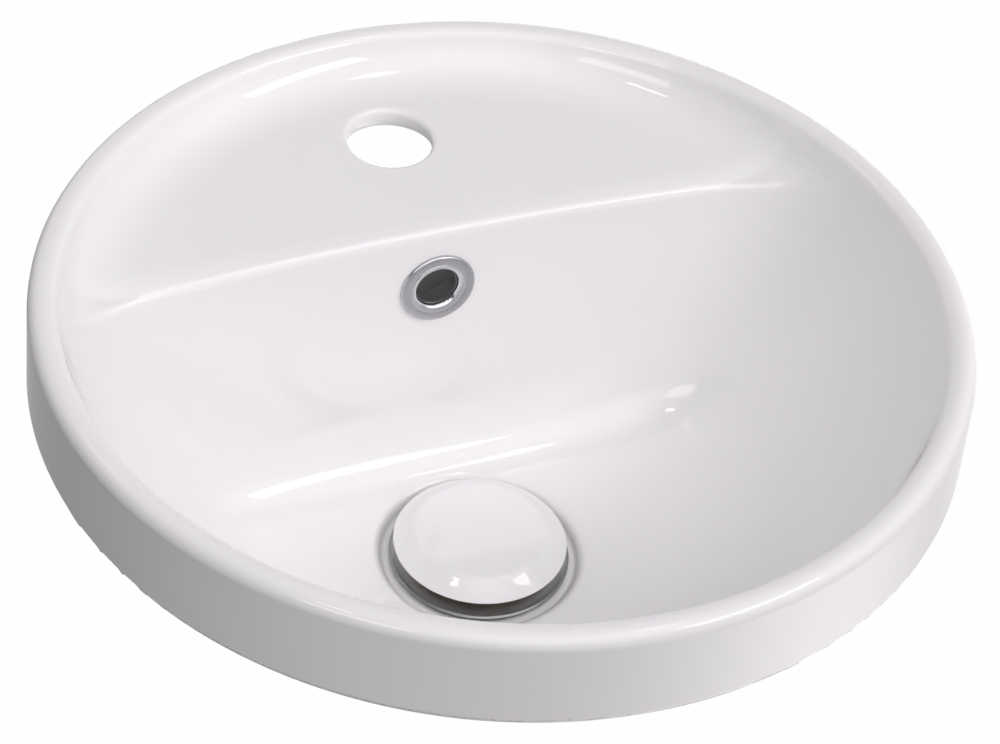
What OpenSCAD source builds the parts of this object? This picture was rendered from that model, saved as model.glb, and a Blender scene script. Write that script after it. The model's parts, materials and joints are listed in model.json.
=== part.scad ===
// Round inset basin with a tap ledge, an overflow and a push-plug waste.
// Millimetres. The origin is the centre of the rim's underside, where the basin rests on the worktop.
// +Z is up and +Y is towards the tap ledge at the back.

/* [Rim] */
// outside diameter of the rim where it meets the worktop
rim_diameter = 360; // [350:5:390]
// height of the rim's top above the worktop
rim_height = 40; // [36:1:46]
// thickness of the rim at its top
lip_thickness = 12; // [10:1:13]
// how much further out the rim's wall stands at its foot than at its top
rim_flare = 1; // [0:0.5:2]
// rounding of the rim's lower outer edge
foot_rounding = 2; // [1:0.5:3]
// width of the flat ring that rests on the worktop, without the rounding
seat_width = 10; // [8:1:14]

/* [Ledge] */
// depth of the tap ledge below the rim's top
ledge_drop = 21; // [19:1:23]
// thickness of the tap ledge
ledge_thickness = 12; // [9:1:13]
// distance from the basin's axis to the back wall of the bowl, at the ledge
back_wall_distance = 65; // [62:1:68]
// rounding of the ledge's front edge
ledge_rounding = 5; // [3:1:6]
// radius of the slight bow of the back wall, seen from above
back_wall_bow_radius = 1750; // [1400:50:2400]
// lean of the back wall, in degrees
back_wall_lean = 2; // [1:0.5:4]
// diameter of the tap hole
tap_hole_diameter = 35; // [33:0.5:36]
// distance from the basin's axis to the tap hole's centre
tap_hole_distance = 124; // [120:1:126]
// rounding of the tap hole's upper edge
tap_hole_rounding = 2.5; // [1.5:0.5:3]
// thickness of the ledge at the tap hole, where its underside is flared
tap_hole_thickness = 5; // [4.5:0.5:8]
// width of the flare of the underside around the tap hole
tap_hole_flare = 10; // [8:0.5:11]

/* [Bowl] */
// depth of the bowl below the rim's top
bowl_depth = 140; // [130:1:150]
// slope of the floor towards the outlet, as rise over run
floor_slope = 0.045; // [0.03:0.005:0.07]
// power of the curve from the floor to the side wall
bowl_power = 6; // [5:0.5:7]
// thickness of the bowl's wall and floor
bowl_wall = 10; // [9:1:12]
// thickness of the back wall at its foot
back_wall = 12; // [10:1:14]
// radius between the back wall and the floor
floor_corner_radius = 27; // [22:1:30]

/* [Outlet] */
// radial clearance of the threaded tail in the outlet hole
outlet_clearance = 2; // [1.6:0.1:3]
// radial clearance of the waste's flange in its rebate
rebate_clearance = 3; // [2:0.5:5]
// depth of the rebate
rebate_depth = 3.5; // [3:0.5:4]
// diameter of the boss around the outlet
boss_diameter = 76; // [72:1:84]
// height of the outlet from the floor to the boss's foot
outlet_height = 50; // [48:1:54]

/* [Overflow] */
// diameter of the hole in the back wall
overflow_hole_diameter = 24; // [23:0.5:25]
// depth of the overflow's centre below the rim's top
overflow_drop = 50.5; // [49:0.5:56]
// width of the overflow passage
passage_width = 32; // [28:1:36]
// depth of the upright passage, front to back
passage_depth = 14; // [12:1:18]
// height of the passage under the floor
passage_height = 16; // [14:1:17]
// thickness of the passage's walls
passage_wall = 9; // [8:1:10]
// outside diameter of the chromed ring
ring_diameter = 32; // [30:0.5:34]
// diameter of the ring's opening
ring_opening = 17; // [15:0.2:17.4]
// how far the ring stands out of the wall
ring_proud = 2.6; // [2:0.2:3]
// length of the ring's sleeve
ring_sleeve = 9; // [7:0.5:10]

/* [Waste] */
// outside diameter of the flange
flange_diameter = 74; // [70:0.5:76]
// thickness of the flange at its edge
flange_thickness = 1.6; // [1.4:0.1:2]
// outside diameter of the threaded tail
thread_diameter = 41.91; // [41.91:0.01:41.91]
// length of thread left free for the trap
free_thread = 18; // [15:1:22]
// thickness of the tail's wall, thread included
tail_wall = 3.9; // [3.4:0.1:4.4]
// thickness of the rubber ring under the flange
flange_seal_thickness = 1.5; // [1:0.5:2]
// height of the cone washer
cone_washer_height = 10; // [8:1:12]
// thickness of the slip washer
slip_washer_thickness = 1.5; // [1:0.5:2]
// height of the back nut
back_nut_height = 10.5; // [9:0.5:12]
// width across the flats of the back nut
back_nut_flats = 54; // [52:1:56]
// diameter of the cartridge's threaded case
case_diameter = 12; // [11.8:0.1:12.6]
// thickness of the spider that holds the cartridge
spider_thickness = 6; // [5:0.5:7]
// length of the room for the return spring
spring_room = 17; // [16:0.5:18]

/* [Plug] */
// diameter of the ceramic dome
cap_diameter = 72; // [70:0.5:73]
// height of the dome above its edge
cap_rise = 5; // [4:0.5:6]
// thickness of the dome's edge
cap_edge = 3; // [2.6:0.2:3.4]
// how far the brass disc stays inside the dome's edge
disc_inset = 8.2; // [7:0.2:9]
// thickness of the brass disc
disc_thickness = 1.7; // [1.5:0.1:2]
// radius of the disc's threaded hub
hub_radius = 7; // [6:0.5:8]
// how far the plug is pushed down to close
plug_travel = 6; // [5:0.5:6]
// diameter of the stem
stem_diameter = 5; // [4.6:0.2:5]
// radial clearance of the stem in its guide
stem_clearance = 0.06; // [0.05:0.01:0.08]

/* [Hidden] */
$fn = 96;
china = [0.95, 0.95, 0.94];
bright = [0.78, 0.79, 0.80];
yellow = [0.80, 0.66, 0.36];
steel = [0.62, 0.63, 0.65];
black = [0.10, 0.10, 0.10];
pale = [0.86, 0.87, 0.88];
// small overrun of a cutting shape
over = 1;
// bevel that breaks a sharp metal edge
bevel = 0.3;
rim_r = rim_diameter / 2;
lip_r = lip_thickness / 2;
lip_z = rim_height - lip_r;
lip_centre_r = rim_r - rim_flare - lip_r;
bowl_r = lip_centre_r - lip_r;
ledge_z = rim_height - ledge_drop;
cove_r = lip_z - ledge_z;
floor_z = rim_height - bowl_depth;
flange_r = flange_diameter / 2;
rebate_r = flange_r + rebate_clearance;
seat_in_r = rim_r - foot_rounding - seat_width;
// rise of the curved part of the bowl at its top
bowl_lift = lip_z - floor_z - floor_slope * (bowl_r - rebate_r);
function bowl_z(r) = floor_z + floor_slope * max(0, r - rebate_r) + bowl_lift * pow(r / bowl_r, bowl_power);
function bowl_slope(r) = floor_slope + bowl_lift * bowl_power / bowl_r * pow(r / bowl_r, bowl_power - 1);
function bowl_step(t) = rebate_r + (bowl_r - rebate_r) * sin(90 * t);
function skin(r) = [r + bowl_wall * bowl_slope(r) / norm([1, bowl_slope(r)]),
    bowl_z(r) - bowl_wall / norm([1, bowl_slope(r)])];
function arc(c, r, a, b, n) = [for (i = [0:n]) c + r * [cos(a + (b - a) * i / n), sin(a + (b - a) * i / n)]];
inner_curve = [for (t = [0:0.05:1.001]) [bowl_step(t), bowl_z(bowl_step(t))]];
outer_curve = [for (t = [0:0.05:0.901]) if (skin(bowl_step(t))[0] < seat_in_r) skin(bowl_step(t))];
skin_top = outer_curve[len(outer_curve) - 1];
boss_z = floor_z - outlet_height;
boss_r = boss_diameter / 2;
under_ledge_z = ledge_z - ledge_thickness;
// how far the back wall's outer face lies inside the front of the passage
wall_lap = 2;
back_y = back_wall_distance + back_wall - wall_lap;
passage_y = back_y + wall_lap;
passage_far_y = passage_y + passage_depth;
// height of the passage's floor above the boss's foot
passage_lift = 13;
passage_floor = boss_z + passage_lift;
// slant of the passage's far lower corner, and the same corner outside its wall
passage_bend = 30;
casing_bend = passage_bend + passage_wall * (1 - tan(22.5));
// bevel of the corner where the passage turns up behind the bowl
passage_corner = 8;
// how far the passage's top stays below the ledge
passage_roof_gap = 5;
// where the passage and its casing start, inside the outlet and inside the boss
passage_start = 10;
casing_start = 15;
// how far the overflow hole's cutter reaches behind the wall and in front of it
overflow_reach = 20;
overflow_front = 6;
// gap between the ring's flat back and the slightly bowed wall
ring_gap = 0.12;
// wall of the ring's tube, gap between the tube and the insert, and width of the insert's slits
ring_tube_wall = 1.5;
insert_gap = 0.05;
insert_slit = 1.2;
overflow_z = rim_height - overflow_drop;
lean_fall = ledge_z - ledge_rounding - overflow_z;
overflow_y = back_wall_distance - lean_fall * tan(back_wall_lean);
// how far the foot of the back wall's rounding starts below the floor
corner_sink = 0.5;
corner_z = floor_z - corner_sink + floor_corner_radius;
corner_top = corner_z - floor_corner_radius * sin(back_wall_lean);
corner_y = back_wall_distance - (ledge_z - ledge_rounding - corner_top) * tan(back_wall_lean)
    - floor_corner_radius * cos(back_wall_lean);
// half the angle that the bowed back wall takes about its far axis
bow_half_angle = 8;
// reach of the large cutting shapes past the rim, its top and the floor
reach = 20;
far = rim_r + reach;
high = rim_height + reach;
low = floor_z - reach;
// width of the step behind the seat, where the space under the ledge ends
seat_step = 3;
// heights and radii of the waste
rebate_z = floor_z - rebate_depth;
flange_z = rebate_z + flange_seal_thickness;
flange_top = flange_z + flange_thickness;
thread_r = thread_diameter / 2;
outlet_r = thread_r + outlet_clearance;
// how much smaller the tail is where the nut runs on it
thread_relief = 0.45;
tail_r = thread_r - thread_relief;
bore_r = thread_r - tail_wall;
// clearance of the neck below the flange in the outlet hole
neck_clearance = 0.4;
neck_r = outlet_r - neck_clearance;
neck_length = 3;
// width and depth of the step from the flange to its dish
dish_step = 0.6;
dish_r = neck_r - dish_step;
dish_z = flange_top - dish_step;
slip_z = boss_z - cone_washer_height;
nut_z = slip_z - slip_washer_thickness;
nut_foot = nut_z - back_nut_height;
tail_end = nut_foot - free_thread;
// radial clearance of the washers on the tail, and of the nut on its relieved thread
thread_clearance = 0.1;
nut_clearance = 0.05;
thread_bevel = 0.8;
// how far the washers and the seal stay inside the boss and the flange
washer_inset = 5;
seal_inset = 1.5;
// height of the cone washer's lip, which enters the outlet
cone_lip = 3;
// slots that let the overflow's water into the tail
slot_width = 12;
slot_height = passage_height - 5;
// depth of the spider's top below the bowl's floor
spider_drop = 18;
spider_top = floor_z - spider_drop;
spider_z = spider_top - spider_thickness;
spider_arm = 4;
// heights and radii of the cartridge
case_r = case_diameter / 2;
spider_r = case_r + 3.5;
case_wall = 1.4;
case_bore_r = case_r - case_wall;
case_head = 6;
case_head_r = case_r + 2.5;
case_end = 2;
bush_length = 7;
collar_length = 6;
rotor_length = 5.5;
clip_length = 1;
seat_thickness = 0.8;
// end play between the pieces on the stem
play = 0.1;
nut_collar = 2;
// clearance of the bush in the case, height of its head, and the groove for the stem's ring
bush_clearance = 0.03;
bush_head = 1.5;
groove_depth = 1.4;
groove_height = 1.6;
ring_wire_r = 0.65;
case_top = spider_top + case_head;
groove_z = case_top - bush_length / 2 + play;
bush_foot = case_top - bush_length;
collar_top = bush_foot - play;
rotor_top = collar_top - collar_length - 3 * play;
rotor_foot = rotor_top - rotor_length;
clip_foot = rotor_foot - clip_length - 2 * play;
seat_top = clip_foot - spring_room;
case_floor = seat_top - seat_thickness;
stem_r = stem_diameter / 2;
pin_r = stem_r - 0.9;
// length of the pin below the clip, inside the spring
pin_length = 10;
wire_r = 0.45;
spring_r = case_bore_r - wire_r - 0.65;
spring_turns = 6;
// heights and radii of the plug
closed_gap = 0.2;
cap_z = flange_top + closed_gap + plug_travel;
cap_r = cap_diameter / 2;
disc_top = cap_z + disc_thickness;
disc_r = cap_r - disc_inset;
// how far the seal's lip hangs below the dish's edge when the plug is down
seal_drop = 1.4;
seal_foot = dish_z - seal_drop + plug_travel;
hub_depth = 3.8;
hub_foot = cap_z - hub_depth;
lock_nut_height = 3.2;
// radial clearance of the hub and the nut on the stem's thread, and of the rotor on its pin
hub_clearance = 0.02;
rotor_clearance = 0.08;
// depth and width of the latch's teeth
tooth_depth = 0.9;
tooth_width = 1.4;
// width of the seal under the plug, and its gap to the dish's side
seal_width = 3.5;
seal_side_gap = 1.5;

// Revolved outside of the ceramic, solid to the axis.
module ceramic_outside() {
    rotate_extrude() polygon(concat(
        [[0, boss_z], [0, rim_height]],
        [for (p = arc([lip_centre_r, lip_z], lip_r, 90, 0, 10)) p],
        arc([rim_r - foot_rounding, foot_rounding], foot_rounding, 0, -90, 4),
        [[seat_in_r, 0], [seat_in_r, skin_top[1]]],
        [for (i = [len(outer_curve) - 1:-1:0]) outer_curve[i]],
        [[boss_r, bowl_z(rebate_r) - bowl_wall], [boss_r, boss_z]]
    ));
}

// The lump that fills the bowl's curve behind the back wall, bowed about a far axis in front.
module back_lump() {
    bow = back_wall_bow_radius;
    front = back_wall_distance + ledge_rounding;
    translate([0, -bow, 0]) rotate([0, 0, 90 - bow_half_angle]) rotate_extrude(angle = 2 * bow_half_angle)
        polygon(concat(
            [[bow + corner_y, low]],
            [for (p = arc([corner_y, corner_z], floor_corner_radius, -90, -back_wall_lean, 8)) [bow + p[0], p[1]]],
            [for (p = arc([front, ledge_z - ledge_rounding], ledge_rounding, 180, 90, 6)) [bow + p[0], p[1]]],
            [[bow + front, high + over], [bow + far, high + over], [bow + far, low]]
        ));
}

module bowl_space() {
    difference() {
        rotate_extrude() polygon(concat([[0, floor_z]], inner_curve, [[0, rim_height]]));
        back_lump();
    }
}

module ledge_space() {
    rotate_extrude() polygon(concat(
        [[0, ledge_z]], arc([bowl_r - cove_r, lip_z], cove_r, -90, 0, 10), [[0, high]]
    ));
}

module lip_space() {
    rotate_extrude() polygon(concat(
        [[0, lip_z - lip_r], [bowl_r - lip_r, lip_z - lip_r]], arc([lip_centre_r, lip_z], lip_r, 180, 90, 10),
        [[lip_centre_r, high], [0, high]]
    ));
}

// A side view in Y and Z, as wide as twice the half width, centred on X.
module side_slab(half) {
    translate([-half, 0, 0]) rotate([90, 0, 90]) linear_extrude(height = 2 * half) children();
}

module passage_casing() {
    far_y = passage_far_y + passage_wall;
    low_z = passage_floor - passage_wall;
    near_y = back_y - 2 * wall_lap;
    top_z = ledge_z - wall_lap;
    roof_z = floor_z - 2 * wall_lap;
    side_slab(passage_width / 2 + passage_wall) polygon([
        [casing_start, low_z], [far_y - casing_bend, low_z], [far_y, low_z + casing_bend], [far_y, top_z],
        [near_y, top_z], [near_y, roof_z], [casing_start, roof_z]
    ]);
}

module passage_space() {
    top_z = under_ledge_z - passage_roof_gap;
    roof_z = passage_floor + passage_height;
    side_slab(passage_width / 2) polygon([
        [passage_start, passage_floor], [passage_far_y - passage_bend, passage_floor],
        [passage_far_y, passage_floor + passage_bend], [passage_far_y, top_z], [passage_y, top_z],
        [passage_y, roof_z + passage_corner], [passage_y - passage_corner, roof_z], [passage_start, roof_z]
    ]);
}

module overflow_frame() {
    translate([0, overflow_y, overflow_z]) rotate([90 - back_wall_lean, 0, 0]) children();
}

module tap_hole() {
    hole_r = tap_hole_diameter / 2;
    flare_height = ledge_thickness - tap_hole_thickness;
    flare_r = hole_r + tap_hole_flare * (1 + over / flare_height);
    translate([0, tap_hole_distance, under_ledge_z - over]) {
        cylinder(h = ledge_thickness + 2 * over, r = hole_r);
        cylinder(h = flare_height + over, r1 = flare_r, r2 = hole_r);
    }
    translate([0, tap_hole_distance, ledge_z - tap_hole_rounding]) rotate_extrude() difference() {
        square([hole_r + tap_hole_rounding, tap_hole_rounding + over]);
        translate([hole_r + tap_hole_rounding, 0]) circle(r = tap_hole_rounding);
    }
}

module basin_body() {
    color(china) difference() {
        union() {
            difference() {
                ceramic_outside();
                translate([-far, back_y, boss_z - over]) cube([2 * far, far, -boss_z + over]);
                intersection() {
                    translate([-far, back_y, -over]) cube([2 * far, far, under_ledge_z + over]);
                    translate([0, 0, -over]) cylinder(h = under_ledge_z + 2 * over, r = seat_in_r - seat_step);
                }
            }
            passage_casing();
        }
        bowl_space();
        ledge_space();
        lip_space();
        passage_space();
        tap_hole();
        overflow_frame() translate([0, 0, -overflow_reach])
            cylinder(h = overflow_reach + overflow_front, r = overflow_hole_diameter / 2);
        translate([0, 0, boss_z - over]) cylinder(h = outlet_height + 2 * over, r = outlet_r);
        translate([0, 0, rebate_z]) cylinder(h = 2 * rebate_depth, r = rebate_r);
    }
}

module overflow_ring() {
    out_r = ring_diameter / 2;
    in_r = ring_opening / 2;
    tube_r = in_r + ring_tube_wall;
    color(bright) overflow_frame() rotate_extrude() polygon([
        [in_r, -ring_sleeve], [tube_r, -ring_sleeve], [tube_r, ring_gap], [out_r - bevel, ring_gap],
        [out_r, ring_gap + bevel],
        [out_r, 1.0], [out_r - 0.5, 1.5], [in_r + 3.8, 1.9], [in_r + 3.1, ring_proud - 0.3],
        [in_r + 2.2, ring_proud], [in_r + 1.2, ring_proud], [in_r + 0.4, ring_proud - 0.5], [in_r, ring_proud - 1.3]
    ]);
}

module overflow_insert() {
    in_r = ring_opening / 2 + ring_tube_wall + insert_gap;
    out_r = overflow_hole_diameter / 2 - 3 * insert_gap;
    barb_depth = (out_r - in_r) / 3;
    barb_pitch = (ring_sleeve - 2 * barb_depth) / 5;
    top_z = -8 * insert_gap;
    color(pale) overflow_frame() difference() {
        rotate_extrude() polygon(concat(
            [[in_r, -ring_sleeve], [in_r, top_z], [out_r, top_z], [out_r, -barb_pitch]],
            [for (i = [1:4]) each [[out_r - barb_depth, -(i + 0.3) * barb_pitch], [out_r, -(i + 0.7) * barb_pitch]]],
            [[in_r + barb_depth, -ring_sleeve]]
        ));
        for (a = [0, 90]) {
            rotate([0, 0, a]) translate([-out_r - over, -insert_slit / 2, -ring_sleeve - over])
                cube([2 * out_r + 2 * over, insert_slit, ring_sleeve - over]);
        }
    }
}

module waste_body() {
    color(bright) difference() {
        union() {
            difference() {
                rotate_extrude() polygon([
                    [bore_r, tail_end], [thread_r - thread_bevel, tail_end], [thread_r, tail_end + thread_bevel],
                    [thread_r, nut_foot], [tail_r, nut_foot],
                    [tail_r, flange_z - 2 * neck_length], [neck_r, flange_z - neck_length], [neck_r, flange_z],
                    [flange_r - 1.2, flange_z], [flange_r, flange_z + 0.5],
                    [flange_r, flange_top - 0.5], [flange_r - 0.7, flange_top], [flange_r - 2, flange_top],
                    [dish_r, dish_z], [dish_r - neck_length, dish_z - neck_length],
                    [bore_r, dish_z - 2 * neck_length]
                ]);
                for (a = [45:90:315]) {
                    rotate([0, 0, a]) translate([bore_r - tail_wall, -slot_width / 2, passage_floor])
                        cube([3 * tail_wall, slot_width, slot_height]);
                }
            }
            translate([0, 0, spider_z]) cylinder(h = spider_thickness, r = spider_r);
            for (a = [30, 150, 270]) {
                rotate([0, 0, a]) translate([case_r + over, -spider_arm / 2, spider_z])
                    cube([bore_r - case_r, spider_arm, spider_thickness]);
            }
        }
        translate([0, 0, spider_z - over]) cylinder(h = spider_thickness + 2 * over, r = case_r);
    }
}

module flange_seal() {
    color(black) translate([0, 0, rebate_z]) difference() {
        cylinder(h = flange_seal_thickness, r = flange_r - seal_inset);
        translate([0, 0, -over]) cylinder(h = flange_seal_thickness + 2 * over, r = outlet_r + seal_inset / 3);
    }
}

module cone_washer() {
    in_r = tail_r + thread_clearance;
    out_r = boss_r - washer_inset;
    lip_top = cone_washer_height + cone_lip;
    color(black) translate([0, 0, slip_z]) rotate_extrude() polygon([
        [in_r, 0], [out_r - 2, 0], [out_r, 2], [out_r, cone_washer_height],
        [outlet_r - neck_clearance, cone_washer_height], [outlet_r - 3 * neck_clearance, lip_top], [in_r, lip_top]
    ]);
}

module slip_washer() {
    color(pale) translate([0, 0, nut_z]) difference() {
        cylinder(h = slip_washer_thickness, r = boss_r - washer_inset - 1.5);
        translate([0, 0, -over]) cylinder(h = slip_washer_thickness + 2 * over, r = tail_r + thread_clearance);
    }
}

module back_nut() {
    corner_r = back_nut_flats / sqrt(3);
    color(yellow) translate([0, 0, nut_foot]) difference() {
        union() {
            cylinder(h = back_nut_height, r = corner_r, $fn = 6);
            translate([0, 0, back_nut_height - nut_collar]) cylinder(h = nut_collar, r = corner_r + 2 * bevel);
        }
        translate([0, 0, -over]) cylinder(h = back_nut_height + 2 * over, r = tail_r + nut_clearance);
    }
}

module cartridge_body() {
    end_z = case_floor - case_end;
    hole_r = pin_r + bevel;
    color(yellow) rotate_extrude() polygon([
        [hole_r, end_z], [case_r - 2 * bevel, end_z], [case_r - nut_clearance, end_z + 2 * bevel],
        [case_r - nut_clearance, spider_top], [case_head_r - bevel, spider_top], [case_head_r, spider_top + bevel],
        [case_head_r, case_top - bevel], [case_head_r - bevel, case_top], [case_bore_r, case_top],
        [case_bore_r, case_floor], [hole_r, case_floor]
    ]);
}

module guide_bush() {
    in_r = stem_r + stem_clearance;
    out_r = case_bore_r - bush_clearance;
    head_r = case_r + 2 * bevel;
    head_z = case_top + bush_head;
    groove_r = in_r + groove_depth;
    color(pale) rotate_extrude() polygon([
        [in_r, bush_foot], [out_r, bush_foot], [out_r, case_top], [head_r, case_top],
        [head_r, head_z - bevel], [head_r - bevel, head_z], [in_r, head_z], [in_r, groove_z + groove_height / 2],
        [groove_r, groove_z + groove_height / 2], [groove_r, groove_z - groove_height / 2],
        [in_r, groove_z - groove_height / 2]
    ]);
}

module stem_ring() {
    color(black) translate([0, 0, groove_z]) rotate_extrude()
        translate([stem_r + stem_clearance + ring_wire_r + bush_clearance, 0]) circle(r = ring_wire_r);
}

module spring_seat() {
    color(steel) translate([0, 0, case_floor]) difference() {
        cylinder(h = seat_thickness, r = case_bore_r - 2 * play);
        translate([0, 0, -over]) cylinder(h = seat_thickness + 2 * over, r = pin_r + bevel);
    }
}

// A wire swept along a rising circle, its two ends closed with flat caps.
module return_spring() {
    first = seat_top + wire_r + bush_clearance;
    rise = clip_foot - wire_r - bush_clearance - first;
    steps = spring_turns * 20;
    sides = 8;
    ring = function (i) let (a = 360 * spring_turns * i / steps, z = first + rise * i / steps)
        [for (j = [0:sides - 1]) let (b = 360 * j / sides, r = spring_r + wire_r * cos(b))
            [r * cos(a), r * sin(a), z + wire_r * sin(b)]];
    points = [for (i = [0:steps]) each ring(i)];
    walls = [for (i = [0:steps - 1], j = [0:sides - 1]) let (k = (j + 1) % sides)
        [i * sides + j, (i + 1) * sides + j, (i + 1) * sides + k, i * sides + k]];
    ends = [[for (j = [0:sides - 1]) j], [for (j = [sides - 1:-1:0]) steps * sides + j]];
    color(steel) polyhedron(points = points, faces = concat(walls, ends));
}

module plunger_stem() {
    pin_foot = clip_foot - pin_length;
    shoulder_z = rotor_top + 2 * play;
    top_z = cap_z + 3 * bevel;
    color(steel) rotate_extrude() polygon([
        [0, pin_foot], [pin_r - bevel, pin_foot], [pin_r, pin_foot + bevel], [pin_r, shoulder_z],
        [stem_r, shoulder_z], [stem_r, top_z - bevel], [stem_r - bevel, top_z], [0, top_z]
    ]);
}

module push_collar() {
    foot_z = rotor_top + 3 * play;
    color(bright) difference() {
        translate([0, 0, foot_z]) cylinder(h = collar_length, r = case_bore_r - bevel);
        translate([0, 0, foot_z - over]) cylinder(h = collar_length + 2 * over, r = stem_r);
        for (a = [0:45:315]) {
            rotate([0, 0, a]) translate([case_bore_r - 2 * tooth_depth, -tooth_width / 2, foot_z - over])
                cube([2 * tooth_depth, tooth_width, over + 1]);
        }
    }
}

module latch_rotor() {
    hub_r = case_bore_r - bevel - tooth_depth;
    color(pale) difference() {
        union() {
            translate([0, 0, rotor_foot]) cylinder(h = rotor_length, r = hub_r);
            for (a = [0:90:270]) {
                rotate([0, 0, a]) translate([hub_r - tooth_depth, -tooth_width / 2, rotor_foot + bevel])
                    cube([2 * tooth_depth - play, tooth_width, rotor_length - 2 * bevel]);
            }
        }
        translate([0, 0, rotor_foot - over]) cylinder(h = rotor_length + 2 * over, r = pin_r + rotor_clearance);
    }
}

module stem_clip() {
    clip_r = case_bore_r - 2 * bevel;
    color(steel) translate([0, 0, clip_foot]) difference() {
        cylinder(h = clip_length, r = clip_r);
        translate([0, 0, -over]) cylinder(h = clip_length + 2 * over, r = pin_r);
        translate([0, -pin_r / 2, -over]) cube([clip_r + over, pin_r, clip_length + 2 * over]);
    }
}

module lock_nut() {
    color(bright) translate([0, 0, hub_foot - lock_nut_height - play]) difference() {
        cylinder(h = lock_nut_height, r = 2 * stem_r + 3 * bevel, $fn = 6);
        translate([0, 0, -over]) cylinder(h = lock_nut_height + 2 * over, r = stem_r + hub_clearance);
    }
}

module plug_disc() {
    color(bright) difference() {
        union() {
            translate([0, 0, cap_z]) cylinder(h = disc_thickness, r = disc_r);
            translate([0, 0, hub_foot]) cylinder(h = hub_depth + disc_thickness / 2, r = hub_radius);
        }
        translate([0, 0, hub_foot - over])
            cylinder(h = over + hub_depth + 3 * bevel + play, r = stem_r + hub_clearance);
    }
}

module plug_seal() {
    out_r = dish_r - seal_side_gap;
    in_r = out_r - seal_width;
    top_z = cap_z - nut_clearance;
    color(black) rotate_extrude() polygon([
        [in_r, seal_foot + 0.8], [out_r - 1.1, seal_foot], [out_r - bevel, seal_foot],
        [out_r, seal_foot + bevel], [out_r, top_z], [in_r, top_z]
    ]);
}

module plug_cap() {
    under_z = disc_top + play;
    socket_r = disc_r + 4 * play;
    edge_r = cap_edge / 2;
    color(china) rotate_extrude() polygon(concat(
        [[0, under_z], [socket_r, under_z], [socket_r, cap_z]],
        arc([cap_r - edge_r, cap_z + edge_r], edge_r, -90, 75, 6),
        [for (i = [12:-1:1]) let (t = 0.94 * i / 12) [cap_r * t, cap_z + cap_edge + cap_rise * (1 - t * t)]],
        [[0, cap_z + cap_edge + cap_rise]]
    ));
}

basin_body();
overflow_ring();
overflow_insert();
waste_body();
flange_seal();
cone_washer();
slip_washer();
back_nut();
cartridge_body();
guide_bush();
stem_ring();
spring_seat();
return_spring();
plunger_stem();
push_collar();
latch_rotor();
stem_clip();
lock_nut();
plug_disc();
plug_seal();
plug_cap();
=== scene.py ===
"""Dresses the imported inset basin: smooth ceramic, chrome and hidden hardware, floor, light and camera."""

import json
import math

import bmesh
import bpy
import numpy as np
from mathutils import Matrix, Vector

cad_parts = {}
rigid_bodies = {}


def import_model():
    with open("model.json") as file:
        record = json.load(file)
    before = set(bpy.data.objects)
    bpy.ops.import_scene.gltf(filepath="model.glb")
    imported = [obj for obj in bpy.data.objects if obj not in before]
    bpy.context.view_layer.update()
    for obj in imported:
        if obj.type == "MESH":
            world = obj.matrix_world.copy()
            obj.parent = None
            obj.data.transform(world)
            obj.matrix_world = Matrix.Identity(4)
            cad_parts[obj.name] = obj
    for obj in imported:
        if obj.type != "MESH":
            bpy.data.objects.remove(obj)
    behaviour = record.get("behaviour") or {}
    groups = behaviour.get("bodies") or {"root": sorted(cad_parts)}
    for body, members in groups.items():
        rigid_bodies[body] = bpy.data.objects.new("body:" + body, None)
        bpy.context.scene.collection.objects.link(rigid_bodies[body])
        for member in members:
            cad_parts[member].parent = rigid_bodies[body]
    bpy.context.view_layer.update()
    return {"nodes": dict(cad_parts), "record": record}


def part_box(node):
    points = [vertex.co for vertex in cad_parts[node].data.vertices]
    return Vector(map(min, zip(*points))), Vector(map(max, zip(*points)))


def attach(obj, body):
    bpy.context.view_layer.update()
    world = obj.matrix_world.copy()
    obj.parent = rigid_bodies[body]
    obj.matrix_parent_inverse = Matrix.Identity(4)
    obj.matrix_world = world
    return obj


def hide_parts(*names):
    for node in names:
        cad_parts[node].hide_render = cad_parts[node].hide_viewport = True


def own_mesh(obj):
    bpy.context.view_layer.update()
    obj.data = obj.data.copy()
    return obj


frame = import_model()
MM = 0.001

# The colour of all light, and the colour and brightness of the plain floor, worktop strip and sky behind.
STUDIO_COLOUR = (1, 0.967, 1)
WHITE_COLOUR = (1, 0.992, 1)
PLAIN_WHITE = 1.0

# The ceramic, in millimetres, with heights above the worktop.
# The rim, whose radius is RIM_FLARE larger at its foot than at its lip.
RIM_R = 179.9
RIM_FLARE = 1.0
RIM_FILLET_R = 2.0
FOOT_ROUNDING = 2.0
LIP_R = 6.0
LIP_Z = 34.0
LIP_CENTRE_R = 173.0

# The bowl. Its floor slopes up from the rebate around the outlet, and its side rises with the distance
# from the middle, to the power BOWL_POWER.
BOWL_R = 167.0
BOWL_WALL = 10.0
BOWL_POWER = 6
BOWL_GAP_LIMIT = 40.0
SEAT_IN_R = 168.0
SKIN_EDGE_R = 2.0
FLOOR_Z = -100.0
FLOOR_SLOPE = 0.045
FLOOR_CORNER_R = 27.0
REBATE_R = 40.0
REBATE_Z = -103.5
REBATE_CORNER_R = 1.0
REBATE_EDGE_R = 4.5
BOWL_LIFT = LIP_Z - FLOOR_Z - FLOOR_SLOPE * (BOWL_R - REBATE_R)

# The outlet in the floor, and the boss around it underneath.
OUTLET_R = 22.955
OUTLET_EDGE_R = 1.0
OUTLET_TOP_Z = -60.0
BOSS_R = 38.0
BOSS_Z = -150.0
BOSS_EDGE_R = 1.5
BOSS_FILLET_R = 8.0

# The bowl's back wall, bowed and leaning, and the face behind it, which the ledge overhangs.
BACK_WALL_Y = 65.0
BACK_WALL_BOW_R = 1750.0
BACK_WALL_LEAN = math.radians(2)
BACK_FACE_Y = 75.0
BACK_FACE_R = 165.0
BACK_CORNER_R = 6.0
BACK_EDGE_R = 2.0

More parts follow.
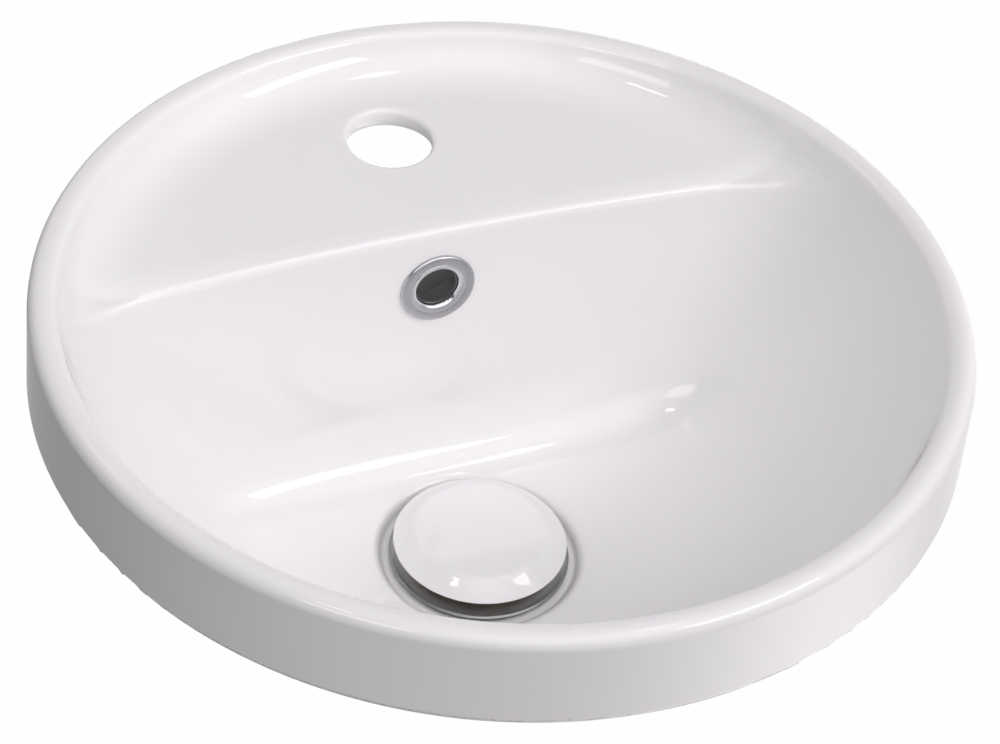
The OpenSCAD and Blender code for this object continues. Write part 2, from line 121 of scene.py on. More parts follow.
# The ledge, which slopes down to the front and bends down just before its front edge. The edge's rounding
# fades to almost nothing further forward and higher up, where the bowl runs into the lip.
LEDGE_Z = 19.0
UNDER_LEDGE_Z = 7.0
LEDGE_FALL = 0.045
LEDGE_BEND = 0.0135
LEDGE_BEND_Y = 76.0
LEDGE_BEND_LENGTH = 14.0
LEDGE_ROUNDING = 5.0
LEDGE_EDGE_R = 2.6
LEDGE_EDGE_FROM_Y, LEDGE_EDGE_FULL_Y = 30.0, 60.0
LEDGE_EDGE_FULL_Z, LEDGE_EDGE_END_Z = 21.0, 30.0
LEDGE_EDGE_LEAST_R = 0.01
COVE_R = 25.0

# The tap hole, straight down to TAP_LAND_Z and flared below, a little past the ledge's underside.
TAP_HOLE_R = 17.5
TAP_HOLE_Y = 124.0
TAP_HOLE_ROUNDING = 2.5
TAP_LAND_Z = 14.0
TAP_FLARE = 10 / 7
TAP_FLARE_EDGE_R = 1.0
TAP_FLARE_PAST = 1.0

# The overflow's round hole in the back wall, and how far it is cut behind and before the wall.
OVERFLOW_R = 12.0
OVERFLOW_EDGE_R = 0.8
OVERFLOW_BEHIND, OVERFLOW_BEFORE = 20.0, 6.0
OVERFLOW_Z = -10.5
OVERFLOW_Y = BACK_WALL_Y - (LEDGE_Z - LEDGE_ROUNDING - OVERFLOW_Z) * math.tan(BACK_WALL_LEAN)

# The overflow's passage, down behind the back wall and forward under the floor to the outlet.
PASSAGE_HALF = 16.0
PASSAGE_NEAR_Y = 77.0
PASSAGE_FAR_Y = 91.0
PASSAGE_TOP = 2.0
PASSAGE_FLOOR = -137.0
PASSAGE_ROOF = -121.0
PASSAGE_SLANT = 198.0
PASSAGE_END_Y = 10.0
PASSAGE_BEND_R = 4.0
PASSAGE_CORNER_R = 3.0

# The casing around the passage: its wall, how many walls thick it is over the passage's roof, what it adds
# to the passage's top, end and corners, and the fillet where it meets the bowl.
CASING_WALL = 9.0
CASING_ROOF_WALLS = 2.0
CASING_RISE = 12.0
CASING_END = 5.0
CASING_CORNER = 5.0
CASING_FILLET_R = 6.0

# The meshes: vertices closer than this, in millimetres, are joined, and edges sharper than this stay sharp.
WELD_REACH = 0.1
SHARP_ANGLE = math.radians(40)

# The return spring's wire radius, in metres.
SPRING_WIRE_R = 0.00045


def round_union(a, b, radius):
    """Joins two solids, given as distances that are negative inside, with a fillet between them."""
    fillet = np.hypot(np.maximum(radius - a, 0), np.maximum(radius - b, 0))
    return np.maximum(np.minimum(a, b), radius) - fillet


def round_cut(a, b, radius):
    """Keeps what is inside both, and rounds the edge between them."""
    rounding = np.hypot(np.maximum(radius + a, 0), np.maximum(radius + b, 0))
    return np.minimum(np.maximum(a, b), -radius) + rounding


def all_of(first, *others):
    """Keeps what is inside all, with sharp edges."""
    for other in others:
        first = np.maximum(first, other)
    return first


def smooth_step(value, start, end):
    """Rises softly from 0 at start to 1 at end."""
    t = np.clip((value - start) / (end - start), 0, 1)
    return t * t * (3 - 2 * t)


def bowl_height(r):
    return FLOOR_Z + FLOOR_SLOPE * np.maximum(r - REBATE_R, 0) + BOWL_LIFT * (r / BOWL_R) ** BOWL_POWER


def bowl_slope(r):
    steep = BOWL_LIFT * BOWL_POWER / BOWL_R
    return FLOOR_SLOPE * (r > REBATE_R) + steep * (r / BOWL_R) ** (BOWL_POWER - 1)


def bowl_gap(r, z):
    """How far a point lies below the bowl's surface. Four steps find the nearest place on its curve."""
    foot = np.minimum(r, BOWL_R + 2)
    for _ in range(4):
        slope = bowl_slope(foot)
        across = np.sqrt(1 + slope ** 2)
        gap = (bowl_height(foot) - z + slope * (r - foot)) / across
        gap = np.clip(gap, -BOWL_GAP_LIMIT, BOWL_GAP_LIMIT)
        foot = np.clip(r - gap * slope / across, 0, BOWL_R + 4)
    return gap


def ledge_and_lip(y, z, r):
    """The ledge, which falls to the front and bends down there, the cove behind it and the rim's lip."""
    bend = np.clip(LEDGE_BEND_Y - y, 0, LEDGE_BEND_LENGTH)
    ledge = LEDGE_Z + LEDGE_FALL * np.maximum(y - BACK_FACE_Y, 0) - LEDGE_BEND * bend ** 2
    lip_down = LIP_Z - ledge - COVE_R
    lip_out = np.sqrt(np.maximum((LIP_R + COVE_R) ** 2 - lip_down ** 2, 1))
    out, up = r - LIP_CENTRE_R + lip_out, z - ledge - COVE_R
    cove = (out > 0) & (lip_out * up < lip_down * out)
    above_lip = np.where(r > LIP_CENTRE_R, np.maximum(z - LIP_Z, 0), z - LIP_Z)
    lip = np.hypot(r - LIP_CENTRE_R, above_lip) - LIP_R
    return np.where(cove, COVE_R - np.hypot(out, up), np.where(out > 0, lip, z - ledge))


def bowl_air(x, y, z, r, gap):
    """The space above the bowl's floor, in front of its back wall, and over the ledge."""
    bow = np.hypot(x, y + BACK_WALL_BOW_R) - BACK_WALL_BOW_R
    lean = (LEDGE_Z - LEDGE_ROUNDING - z) * math.tan(BACK_WALL_LEAN)
    behind = (bow - BACK_WALL_Y + lean) * math.cos(BACK_WALL_LEAN)
    lower = round_cut(gap, behind, FLOOR_CORNER_R)
    upper = -ledge_and_lip(y, z, r)
    edge = LEDGE_EDGE_R * smooth_step(y, LEDGE_EDGE_FROM_Y, LEDGE_EDGE_FULL_Y)
    edge = edge * (1 - smooth_step(z, LEDGE_EDGE_FULL_Z, LEDGE_EDGE_END_Z))
    return round_union(lower, upper, np.maximum(edge, LEDGE_EDGE_LEAST_R))


def shell(x, y, z, r, gap):
    """The rim, the bowl's wall, the outlet's boss and the ledge, all still solid inside."""
    rim_r = RIM_R - RIM_FLARE * np.clip((z - FOOT_ROUNDING) / (LIP_Z - FOOT_ROUNDING), 0, 1)
    rim = round_cut(r - rim_r, -z, FOOT_ROUNDING)
    skin = round_cut(gap - BOWL_WALL, r - SEAT_IN_R, SKIN_EDGE_R)
    boss = round_cut(r - BOSS_R, BOSS_Z - z, BOSS_EDGE_R)
    body = round_union(round_union(rim, skin, RIM_FILLET_R), boss, BOSS_FILLET_R)
    under_ledge = np.maximum(z - UNDER_LEDGE_Z, np.minimum(z, r - BACK_FACE_R))
    behind = round_cut(BACK_FACE_Y - y, under_ledge, BACK_CORNER_R)
    return round_cut(body, -behind, BACK_EDGE_R)


def passage(x, y, z, grow):
    """The overflow's way down behind the bowl and under its floor, or its casing when grown."""
    casing = grow > 0
    far = y - PASSAGE_FAR_Y - grow
    upright = all_of(PASSAGE_NEAR_Y - grow - y, far, z - PASSAGE_TOP - CASING_RISE * casing)
    roof = z - PASSAGE_ROOF - CASING_ROOF_WALLS * grow
    level = all_of(PASSAGE_END_Y + CASING_END * casing - y, far, roof)
    slant = (y - z - PASSAGE_SLANT) / math.sqrt(2) - grow
    side = np.minimum(upright, level)
    side = round_cut(side, np.maximum(PASSAGE_FLOOR - grow - z, slant), PASSAGE_BEND_R)
    return round_cut(side, abs(x) - PASSAGE_HALF - grow, PASSAGE_CORNER_R + CASING_CORNER * casing)


def overflow_hole(x, y, z):
    """The round hole in the back wall, square to the wall."""
    across = (y - OVERFLOW_Y) * math.sin(BACK_WALL_LEAN) + (z - OVERFLOW_Z) * math.cos(BACK_WALL_LEAN)
    along = (z - OVERFLOW_Z) * math.sin(BACK_WALL_LEAN) - (y - OVERFLOW_Y) * math.cos(BACK_WALL_LEAN)
    return all_of(np.hypot(x, across) - OVERFLOW_R, -OVERFLOW_BEHIND - along, along - OVERFLOW_BEFORE)


def ceramic(x, y, z):
    """Distance to the ceramic's surface, roughly, negative inside it."""
    r = np.hypot(x, y)
    gap = bowl_gap(r, z)
    casing = passage(x, y, z, CASING_WALL)
    solid = round_union(shell(x, y, z, r, gap), casing, CASING_FILLET_R)
    solid = np.maximum(solid, -bowl_air(x, y, z, r, gap))
    solid = np.maximum(solid, -passage(x, y, z, 0))
    outlet = np.maximum(r - OUTLET_R, z - OUTLET_TOP_Z)
    solid = round_cut(solid, -outlet, OUTLET_EDGE_R)
    rebate = round_cut(np.maximum(r - REBATE_R, z - OUTLET_TOP_Z), REBATE_Z - z, REBATE_CORNER_R)
    solid = round_cut(solid, -rebate, REBATE_EDGE_R)
    from_tap = np.hypot(x, y - TAP_HOLE_Y)
    flare = (from_tap - TAP_HOLE_R - TAP_FLARE * (TAP_LAND_Z - z)) / math.hypot(1, TAP_FLARE)
    flare = np.maximum(flare, UNDER_LEDGE_Z - TAP_FLARE_PAST - z)
    solid = round_cut(solid, -flare, TAP_FLARE_EDGE_R)
    solid = round_cut(solid, TAP_HOLE_R - from_tap, TAP_HOLE_ROUNDING)
    return round_cut(solid, -overflow_hole(x, y, z), OVERFLOW_EDGE_R)


def grid_lines(*stops):
    """Grid lines from stop to stop: (start, step), ..., (end, None)."""
    parts = [np.arange(start, end - step / 3, step) for (start, step), (end, _) in zip(stops, stops[1:])]
    return np.concatenate(parts + [[stops[-1][0]]])


def surface_net(values, lines):
    """Vertices and quads of the surface where values changes sign on the grid."""
    shape = np.array(values.shape) - 1
    points, quads = [], []
    for axis in range(3):
        first = np.argwhere(np.diff(values < 0, axis=axis))
        sides = [(axis + 1) % 3, (axis + 2) % 3]
        first = first[np.all((first[:, sides] > 0) & (first[:, sides] < shape[sides]), axis=1)]
        second = first + np.eye(3, dtype=int)[axis]
        a, b = values[tuple(first.T)], values[tuple(second.T)]
        point = np.stack([line[first[:, k]] for k, line in enumerate(lines)], axis=1)
        point[:, axis] += a / (a - b) * np.diff(lines[axis])[first[:, axis]]
        around = []
        for step in ((1, 1), (0, 1), (0, 0), (1, 0)):
            cell = first.copy()
            cell[:, sides] -= step
            around.append(np.ravel_multi_index(cell.T, shape))
        quad = np.stack(around, axis=1)
        quads.append(np.where((a >= 0)[:, None], quad[:, ::-1], quad))
        points.append(point)
    quads, points = np.concatenate(quads), np.concatenate(points)
    _, quads = np.unique(quads, return_inverse=True)
    quads = quads.reshape(-1, 4)
    count = np.bincount(quads.ravel())
    vertices = [np.bincount(quads.ravel(), np.repeat(points[:, k], 4)) / count for k in range(3)]
    return np.stack(vertices, axis=1), quads


def gradient(points, step=0.02):
    """How fast the ceramic's distance grows along X, Y and Z at each point."""
    slopes = []
    for move in np.eye(3) * step:
        slopes.append((ceramic(*(points + move).T) - ceramic(*(points - move).T)) / (2 * step))
    return np.stack(slopes, axis=1)


def seat_on_surface(points):
    """Moves points onto the ceramic's surface, in four steps of at most a millimetre."""
    least_steep, longest_move = 0.2, 1
    for _ in range(4):
        slope = gradient(points)
        steep = np.maximum((slope ** 2).sum(axis=1), least_steep)
        move = slope * (ceramic(*points.T) / steep)[:, None]
        points = points - np.clip(move, -longest_move, longest_move)
    return points


def surface_normals(points):
    slope = gradient(points)
    return slope / np.maximum(np.linalg.norm(slope, axis=1), 1e-6)[:, None]


def new_mesh(name, vertices, faces):
    """A smooth-shaded object from vertices in metres."""
    mesh = bpy.data.meshes.new(name)
    mesh.from_pydata(vertices.tolist(), [], faces.tolist() if hasattr(faces, "tolist") else faces)
    mesh.validate()
    obj = bpy.data.objects.new(name, mesh)
    bpy.context.scene.collection.objects.link(obj)
    for polygon in mesh.polygons:
        polygon.use_smooth = True
    return obj


def weld(mesh, reach):
    """Joins vertices that lie on each other, and drops the faces that have no area left."""
    shape = bmesh.new()
    shape.from_mesh(mesh)
    bmesh.ops.remove_doubles(shape, verts=shape.verts, dist=reach)
    bmesh.ops.dissolve_degenerate(shape, dist=reach, edges=shape.edges)
    shape.to_mesh(mesh)
    shape.free()
    mesh.validate()


def make_ceramic():
    """The glazed ceramic, on a grid that is finer around the outlet, the overflow and the tap hole."""
    fine, plain = 1.6, 4.2
    half = grid_lines((0, fine), (42, plain), (182.4, None))
    width = np.concatenate([-half[:0:-1], half])
    length = grid_lines((-182.5, plain), (-43, fine), (80, 2), (102, fine), (147, plain), (182.5, None))
    height = grid_lines((-152, plain), (-107, 1.2), (-97, plain), (-24, 1.6), (42, None))
    values = ceramic(half[:, None, None], length[None, :, None], height[None, None, :])
    values = np.concatenate([values[:0:-1], values])
    vertices, quads = surface_net(values, (width, length, height))
    obj = new_mesh("glazed_basin", seat_on_surface(vertices) * MM, quads)
    weld(obj.data, WELD_REACH * MM)
    points = np.array([vertex.co for vertex in obj.data.vertices]) / MM
    obj.data.normals_split_custom_set_from_vertices(surface_normals(points).tolist())
    return obj


def revolve(name, profile, turns=160, place=Matrix.Identity(4)):
    """Turns a closed profile of (radius, height) points, in millimetres, about Z. It may end on the axis."""
    angles = np.arange(turns) * 2 * math.pi / turns
    rings, faces, vertices = [], [], []
    for radius, height in profile:
        if radius < 1e-6:
            rings.append([len(vertices)] * turns)
            vertices.append((0, 0, height))
        else:
            rings.append(list(range(len(vertices), len(vertices) + turns)))
            vertices += [(radius * math.cos(a), radius * math.sin(a), height) for a in angles]
    for low, high in zip(rings, rings[1:] + rings[:1]):
        for i in range(turns):
            j = (i + 1) % turns
            face = list(dict.fromkeys([low[i], low[j], high[j], high[i]]))
            if len(face) > 2:
                faces.append(face)
    obj = new_mesh(name, np.array(vertices) * MM, faces)
    obj.data.transform(place)
    obj.data.set_sharp_from_angle(angle=SHARP_ANGLE)
    return obj


def soften(profile, rounds):
    """Cuts the corners of a closed profile, again and again, so that they become round."""
    points = np.array(profile, dtype=float)
    for _ in range(rounds):
        after = np.roll(points, -1, axis=0)
        points = np.stack([0.75 * points + 0.25 * after, 0.25 * points + 0.75 * after], axis=1).reshape(-1, 2)
    return points.tolist()


def arc(centre, radius, start, end, count):
    angles = np.radians(np.linspace(start, end, count))
    return [(centre[0] + radius * math.cos(a), centre[1] + radius * math.sin(a)) for a in angles]


def make_dome():
    """The plug's ceramic dome: nearly flat on top, steep near its thin edge, with a socket for the disc."""
    cap_r, edge_r, foot, crown, shoulder, brim = 35.5, 0.45, -94.2, 0.1, 0.78, 0.62
    socket_r, socket_top = 28.2, -92.4
    edge = arc((cap_r - edge_r, foot + edge_r), edge_r, -90, math.degrees(math.atan(1 / brim)), 9)
    radii = np.linspace(edge[-1][0], 0, 90)
    out = radii / cap_r
    turn_from, turn_to, brim_from = 0.7, 0.82, 0.99
    slope = crown * out + (shoulder - crown * out) * smooth_step(out, turn_from, turn_to)
    slope += (brim - shoulder) * smooth_step(out, turn_to, brim_from)
    steps = (slope[1:] + slope[:-1]) / 2 * -np.diff(radii)
    dome = list(zip(radii[1:], edge[-1][1] + np.cumsum(steps)))
    inside = [(0, socket_top), (socket_r, socket_top), (socket_r, foot)]
    return revolve("ceramic_dome", edge + dome + inside)


def make_ring():
    """The overflow's trim ring: a satin face, a polished mouth that curves inwards, and a sleeve behind."""
    face = [(11.4, 0), (15.9, 0), (16, 0.1), (16, 0.8), (15.5, 1.5), (14.9, 1.7), (11.4, 1.7)]
    mouth = [(10, -1.2), (11.9, -1.2), (11.9, 1.66), (11.3, 1.72), (10.2, 1.5), (9.3, 0.8), (8.8, -0.2),
             (8.6, -1.2)]
    sleeve = [(8.6, -9), (10, -9), (10, -1), (8.6, -1)]
    turned = Matrix.Rotation(math.pi / 2 - BACK_WALL_LEAN, 4, "X")
    place = Matrix.Translation((0, OVERFLOW_Y * MM, OVERFLOW_Z * MM)) @ turned
    ring = revolve("overflow_trim", soften(face, 2), place=place)
    parts = [revolve("overflow_mouth", soften(mouth, 3), place=place),
             revolve("overflow_sleeve", sleeve, place=place)]
    for part in parts:
        part.parent = ring
    return ring


def make_spring():
    """The return spring: a wire in a rising coil, as high and wide as its solid, in metres."""
    low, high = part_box("return_spring")
    wire_r, turns, steps, sides = SPRING_WIRE_R, 6, 240, 10
    turn = np.repeat(np.linspace(0, 2 * math.pi * turns, steps + 1), sides)
    around = np.tile(np.arange(sides) * 2 * math.pi / sides, steps + 1)
    radius = high[0] - wire_r + wire_r * np.cos(around)
    rise = np.linspace(low[2] + wire_r, high[2] - wire_r, steps + 1)
    height = rise.repeat(sides) + wire_r * np.sin(around)
    vertices = np.stack([radius * np.cos(turn), radius * np.sin(turn), height], axis=1)
    faces = []
    for ring in range(0, steps * sides, sides):
        for j in range(sides):
            k = (j + 1) % sides
            faces.append([ring + j, ring + sides + j, ring + sides + k, ring + k])
    ends = [list(range(sides)), list(range((steps + 1) * sides - 1, steps * sides - 1, -1))]
    return new_mesh("coil_spring", vertices, faces + ends)


# Noise mostly lies between these two values.
NOISE_LOW, NOISE_HIGH = 0.3, 0.7


class Paint:
    """A node material built around one Principled shader."""

    def __init__(self, name, **inputs):
        self.material = bpy.data.materials.new(name)
        self.material.use_nodes = True
        self.tree = self.material.node_tree
        self.shader = self.tree.nodes["Principled BSDF"]
        self.place = self.add("ShaderNodeTexCoord").outputs["Object"]
        for key, value in inputs.items():
            self.shader.inputs[key.replace("_", " ")].default_value = value

    def add(self, kind, **settings):
        node = self.tree.nodes.new(kind)
        for key, value in settings.items():
            if key in node.inputs:
                node.inputs[key].default_value = value
            else:
                setattr(node, key, value)
        return node

    def join(self, output, target):
        self.tree.links.new(output, target)

    def noise(self, scale, detail=3, stretch=(1, 1, 1)):
        mapping = self.add("ShaderNodeMapping")
        mapping.inputs["Scale"].default_value = stretch
        self.join(self.place, mapping.inputs["Vector"])
        noise = self.add("ShaderNodeTexNoise", Scale=scale, Detail=detail)
        self.join(mapping.outputs["Vector"], noise.inputs["Vector"])
        return noise.outputs["Fac"]

    def ramp(self, value, start, end, low, high):
        """Turns a value between start and end into one between low and high."""
        node = self.add("ShaderNodeMapRange")
        for socket, number in (("From Min", start), ("From Max", end), ("To Min", low), ("To Max", high)):
            node.inputs[socket].default_value = number
        self.join(value, node.inputs["Value"])
        return node.outputs["Result"]

    def tint(self, value, low, high):
        node = self.add("ShaderNodeValToRGB")
        first, last = node.color_ramp.elements
        first.position, last.position = NOISE_LOW, NOISE_HIGH
        first.color = (*low, 1)
        last.color = (*high, 1)
        self.join(value, node.inputs["Fac"])
        self.join(node.outputs["Color"], self.shader.inputs["Base Color"])

    def rough(self, value, low, high):
        self.join(self.ramp(value, NOISE_LOW, NOISE_HIGH, low, high), self.shader.inputs["Roughness"])

    def bump(self, value, strength, distance):
        node = self.add("ShaderNodeBump", Strength=strength, Distance=distance)
        self.join(value, node.inputs["Height"])
        self.join(node.outputs["Normal"], self.shader.inputs["Normal"])


def glaze():
    paint = Paint("white_glaze", IOR=1.52)
    paint.tint(paint.noise(14), (0.945, 0.945, 0.945), (0.955, 0.955, 0.955))
    paint.rough(paint.noise(60), 0.02, 0.045)
    paint.bump(paint.noise(90, 1), 0.02, 0.0004)
    return paint.material


def chrome():
    paint = Paint("polished_chrome", Metallic=1)
    paint.tint(paint.noise(40), (0.66, 0.67, 0.68), (0.72, 0.73, 0.74))
    paint.rough(paint.noise(300, 2), 0.04, 0.08)
    paint.bump(paint.noise(600, 2), 0.03, 0.0001)
    return paint.material


def dull_chrome():
    """Chrome that is polished on the tail and dull on the flange, painted darker towards the flange's edge as
    shade from the dome above it.
    """
    paint = Paint("waste_chrome", Metallic=1)
    split = paint.add("ShaderNodeSeparateXYZ")
    paint.join(paint.place, split.inputs["Vector"])
    dull_from_z, dull_z = -0.13, -0.108
    dullness = paint.ramp(split.outputs["Z"], dull_from_z, dull_z, NOISE_LOW, NOISE_HIGH)
    flat = paint.add("ShaderNodeVectorMath", operation="MULTIPLY")
    flat.inputs[1].default_value = (1, 1, 0)
    paint.join(paint.place, flat.inputs[0])
    radius = paint.add("ShaderNodeVectorMath", operation="LENGTH")
    paint.join(flat.outputs["Vector"], radius.inputs[0])
    # Painted shade: the chrome turns darker towards the flange's edge, standing in for the dome's shade and
    # hiding the edge's highlight.
    shade_from_r, shade_r = 0.0335, 0.0365
    painted_shade = paint.ramp(radius.outputs["Value"], shade_from_r, shade_r, NOISE_LOW, NOISE_HIGH)
    paint.tint(painted_shade, (0.75, 0.755, 0.76), (0.3, 0.3, 0.303))
    wear = paint.add("ShaderNodeMath", operation="MULTIPLY_ADD")
    paint.join(paint.noise(300, 2), wear.inputs[0])
    wear.inputs[1].default_value = 0.12
    paint.join(dullness, wear.inputs[2])
    paint.rough(wear.outputs["Value"], 0.08, 0.38)
    paint.bump(paint.noise(600, 2), 0.03, 0.0001)
    return paint.material


def satin_chrome():
    paint = Paint("worn_chrome", Metallic=1)
    paint.tint(paint.noise(60), (0.5, 0.5, 0.51), (0.58, 0.58, 0.59))
    paint.rough(paint.noise(240, 2), 0.2, 0.28)
    paint.bump(paint.noise(700, 2), 0.05, 0.0001)
    return paint.material


def turned_brass():
    paint = Paint("turned_brass", Metallic=1)
    paint.tint(paint.noise(35), (0.62, 0.45, 0.2), (0.72, 0.55, 0.27))
    lines = paint.noise(1, 2, (30, 30, 3000))
    paint.rough(lines, 0.2, 0.34)
    paint.bump(lines, 0.12, 0.0001)
    return paint.material


def drawn_steel():
    paint = Paint("drawn_steel", Metallic=1)
    paint.tint(paint.noise(50), (0.5, 0.51, 0.52), (0.58, 0.59, 0.6))
    lines = paint.noise(1, 2, (1800, 1800, 40))
    paint.rough(lines, 0.22, 0.34)
    paint.bump(lines, 0.08, 0.0001)
    return paint.material


def moulded_rubber():
    paint = Paint("moulded_rubber", IOR=1.45)
    paint.tint(paint.noise(120), (0.09, 0.09, 0.09), (0.12, 0.12, 0.119))
    paint.rough(paint.noise(500), 0.55, 0.72)
    paint.bump(paint.noise(900, 4), 0.2, 0.0001)
    return paint.material


def moulded_plastic():
    paint = Paint("moulded_plastic", IOR=1.46)
    paint.tint(paint.noise(80), (0.7, 0.71, 0.7), (0.76, 0.77, 0.76))
    paint.rough(paint.noise(400), 0.35, 0.48)
    paint.bump(paint.noise(1200, 3), 0.1, 0.0001)
    return paint.material


def dress(obj, material):
    obj.data.materials.clear()
    obj.data.materials.append(material)


def dress_hardware():
    """Keeps the CAD's own hardware, with a finish for each material slot, and puts a coil in place of the
    spring.
    """
    finishes = {"chrome": dull_chrome(), "brass": turned_brass(), "steel": drawn_steel(),
                "rubber": moulded_rubber(), "plastic": moulded_plastic()}
    replaced = ("basin_body", "overflow_ring", "plug_cap", "return_spring")
    for part in frame["record"]["subparts"]:
        node, slot = part["node"], part["material_slot"]
        if node not in replaced:
            dress(frame["nodes"][node], finishes[slot])
    spring = make_spring()
    dress(spring, finishes["steel"])
    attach(spring, "basin")
    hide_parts("return_spring")
    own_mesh(spring)


def dress_surfaces():
    """Puts the smooth ceramic, the dome and the trim ring in place of their solids."""
    china, satin, polished = glaze(), satin_chrome(), chrome()
    basin = make_ceramic()
    dress(basin, china)
    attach(basin, "basin")
    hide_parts("basin_body")
    dome = make_dome()
    dress(dome, china)
    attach(dome, "plug")
    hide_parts("plug_cap")
    ring = make_ring()
    dress(ring, satin)
    for part in ring.children:
        dress(part, polished)
    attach(ring, "basin")
    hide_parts("overflow_ring")


# Soft patches of light around the basin: azimuth from +Y towards +X, elevation, strength.
# A patch fades as the cosine of the angle from its middle, to the power SKY_POWER.
SKY_POWER = 10
SKY = ((180, 62, 1.76), (120, 35, 1.51), (200, 35, 1.21), (280, 35, 0.07), (320, 35, 0.79), (0, 8, 1.17),
       (72, 8, 0.96), (45, -20, 1.46), (120, -55, 2.43), (240, -55, 0.54), (0, -55, 0.43))
# Each softbox: where it shines from (azimuth, elevation), its size in metres, its watts.
PANEL_DISTANCE = 2.2
PANELS = {
    "right_softbox": ((139, 42), (1.05, 0.38), 5.6),
    "right_top_light": ((130, 69), (0.25, 0.2), 0.68),
    "left_softbox": ((231, 35), (0.8, 0.45), 3.06),
    "rear_left_light": ((322, 48), (0.35, 0.4), 0.65),
    "left_top_light": ((243, 55), (0.3, 0.14), 0.9),
}


def towards(azimuth, elevation):
    """The unit vector from the basin to a light."""
    azimuth, elevation = math.radians(azimuth), math.radians(elevation)
    return Vector((math.sin(azimuth) * math.cos(elevation), math.cos(azimuth) * math.cos(elevation),
                   math.sin(elevation)))


def add_panel(name, aim, size, watts):
    away = towards(*aim)
    light = bpy.data.lights.new(name, "AREA")
    light.shape = "RECTANGLE"
    light.size, light.size_y = size
    light.energy = watts
    light.color = STUDIO_COLOUR
    obj = bpy.data.objects.new(name, light)
    obj.location = away * PANEL_DISTANCE
    obj.rotation_euler = away.to_track_quat("Z", "Y").to_euler()
    bpy.context.scene.collection.objects.link(obj)


def colour_sockets(sockets):
    return [socket for socket in sockets if socket.type == "RGBA"]


def add_world():
    """A studio of soft patches of light. Looked at directly, it is plain white."""
    world = bpy.data.worlds.new("studio")
    world.use_nodes = True
    nodes, links = world.node_tree.nodes, world.node_tree.links

    def math_node(operation, *values):
        node = nodes.new("ShaderNodeMath")
        node.operation = operation
        for socket, value in zip(node.inputs, values):
            if isinstance(value, (int, float)):
                socket.default_value = value
            else:
                links.new(value, socket)
        return node.outputs["Value"]

    direction = nodes.new("ShaderNodeTexCoord").outputs["Generated"]
    light = 0.0
    for azimuth, elevation, strength in SKY:
        facing = nodes.new("ShaderNodeVectorMath")
        facing.operation = "DOT_PRODUCT"
        facing.inputs[1].default_value = towards(azimuth, elevation)
        links.new(direction, facing.inputs[0])
        patch = math_node("POWER", math_node("MAXIMUM", facing.outputs["Value"], 0), SKY_POWER)
        light = math_node("MULTIPLY_ADD", patch, strength, light)
    seen = nodes.new("ShaderNodeLightPath").outputs["Is Camera Ray"]
    brightness = nodes.new("ShaderNodeMix")
    links.new(seen, brightness.inputs["Factor"])
    links.new(light, brightness.inputs["A"])
    brightness.inputs["B"].default_value = PLAIN_WHITE
    colour = nodes.new("ShaderNodeMix")
    colour.data_type = "RGBA"
    links.new(seen, colour.inputs["Factor"])
    lighting, looked_at = colour_sockets(colour.inputs)
    lighting.default_value = (*STUDIO_COLOUR, 1)
    looked_at.default_value = (*WHITE_COLOUR, 1)
    background = nodes["Background"]
    links.new(colour_sockets(colour.outputs)[0], background.inputs["Color"])
    links.new(brightness.outputs["Result"], background.inputs["Strength"])
    bpy.context.scene.world = world


def add_white(name, vertices, faces):
    """A plain white surface that only the camera sees. The sky lights the basin in its place."""
    obj = new_mesh(name, vertices, faces)
    paint = Paint(name + "_white", Base_Color=(0, 0, 0, 1), Roughness=1, Specular_IOR_Level=0)
    paint.shader.inputs["Emission Color"].default_value = (*WHITE_COLOUR, 1)
    paint.shader.inputs["Emission Strength"].default_value = PLAIN_WHITE
    obj.data.materials.append(paint.material)
    obj.visible_diffuse = False
    obj.visible_glossy = False
    obj.visible_shadow = False


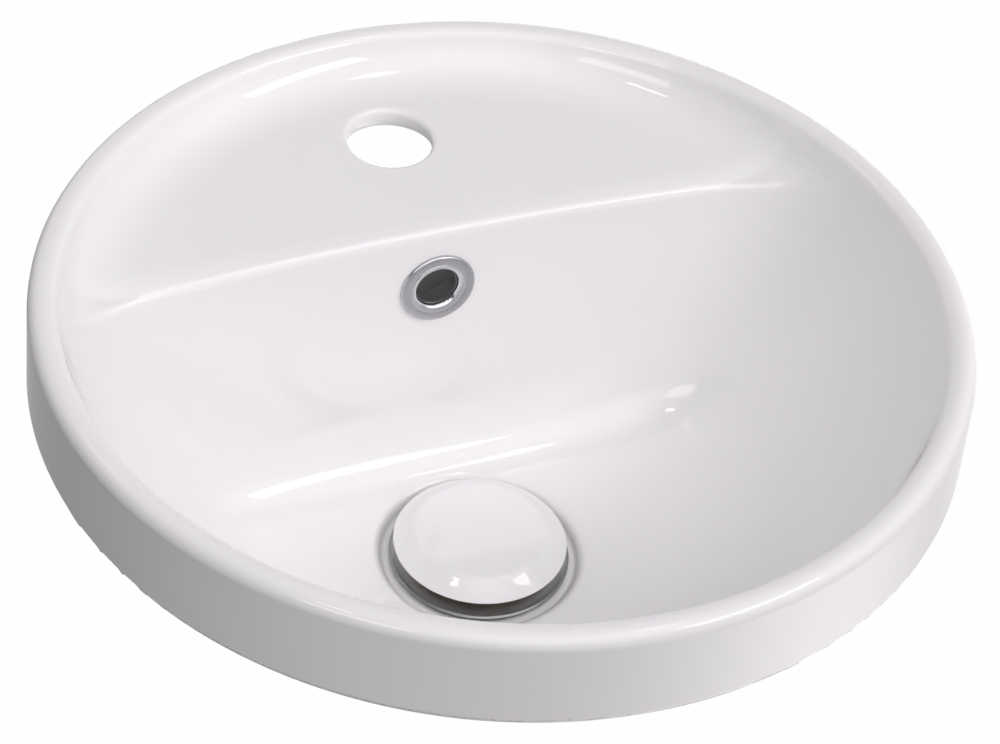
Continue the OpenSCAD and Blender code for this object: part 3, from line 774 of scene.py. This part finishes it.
def add_floor():
    """The floor below the tail, and a narrow strip of the worktop around the rim."""
    half_size, floor_z = 6.0, -0.1905
    corners = ((-1, -1), (1, -1), (1, 1), (-1, 1))
    vertices = np.array([(x * half_size, y * half_size, floor_z) for x, y in corners])
    add_white("floor", vertices, [[0, 1, 2, 3]])
    turns, inner_r, outer_r, strip_z = 180, 0.1785, 0.21, -0.0005
    angles = np.arange(turns) * 2 * math.pi / turns
    rings = [np.stack([r * np.cos(angles), r * np.sin(angles), np.full(turns, strip_z)], axis=1)
             for r in (inner_r, outer_r)]
    faces = [[i, turns + i, turns + (i + 1) % turns, (i + 1) % turns] for i in range(turns)]
    add_white("worktop_strip", np.concatenate(rings), faces)


# The photograph's view, for a frame 1000 pixels wide. The angles are in degrees, the place in metres.
CAMERA_PLACE = (-0.363, -0.741, 0.7375)
CAMERA_AZIMUTH, CAMERA_ELEVATION, CAMERA_ROLL = -26.146, 41.83, 6.2
FOCAL_PIXELS = 2865.4
FRAME_PIXELS = 1000
SENSOR_MM = 36


def add_camera():
    azimuth, elevation, roll = (math.radians(a) for a in (CAMERA_AZIMUTH, CAMERA_ELEVATION, CAMERA_ROLL))
    forward = Vector((-math.sin(azimuth) * math.cos(elevation), math.cos(azimuth) * math.cos(elevation),
                      -math.sin(elevation)))
    right = Vector((math.cos(azimuth), math.sin(azimuth), 0))
    up = right.cross(forward)
    right, up = (math.cos(roll) * right + math.sin(roll) * up, math.cos(roll) * up - math.sin(roll) * right)
    camera = bpy.data.cameras.new("camera")
    camera.sensor_width = SENSOR_MM
    camera.lens = SENSOR_MM * FOCAL_PIXELS / FRAME_PIXELS
    camera.dof.use_dof = False
    obj = bpy.data.objects.new("camera", camera)
    turned = Matrix((right, up, -forward)).transposed().to_4x4()
    obj.matrix_world = Matrix.Translation(CAMERA_PLACE) @ turned
    bpy.context.scene.collection.objects.link(obj)
    bpy.context.scene.camera = obj


def write_sizes():
    def plain(bounds):
        return [[float(v) for v in corner] for corner in bounds]


dress_hardware()
dress_surfaces()
add_floor()
add_world()
for panel, settings in PANELS.items():
    add_panel(panel, *settings)
add_camera()
bpy.context.scene.view_settings.view_transform = "Standard"
write_sizes()
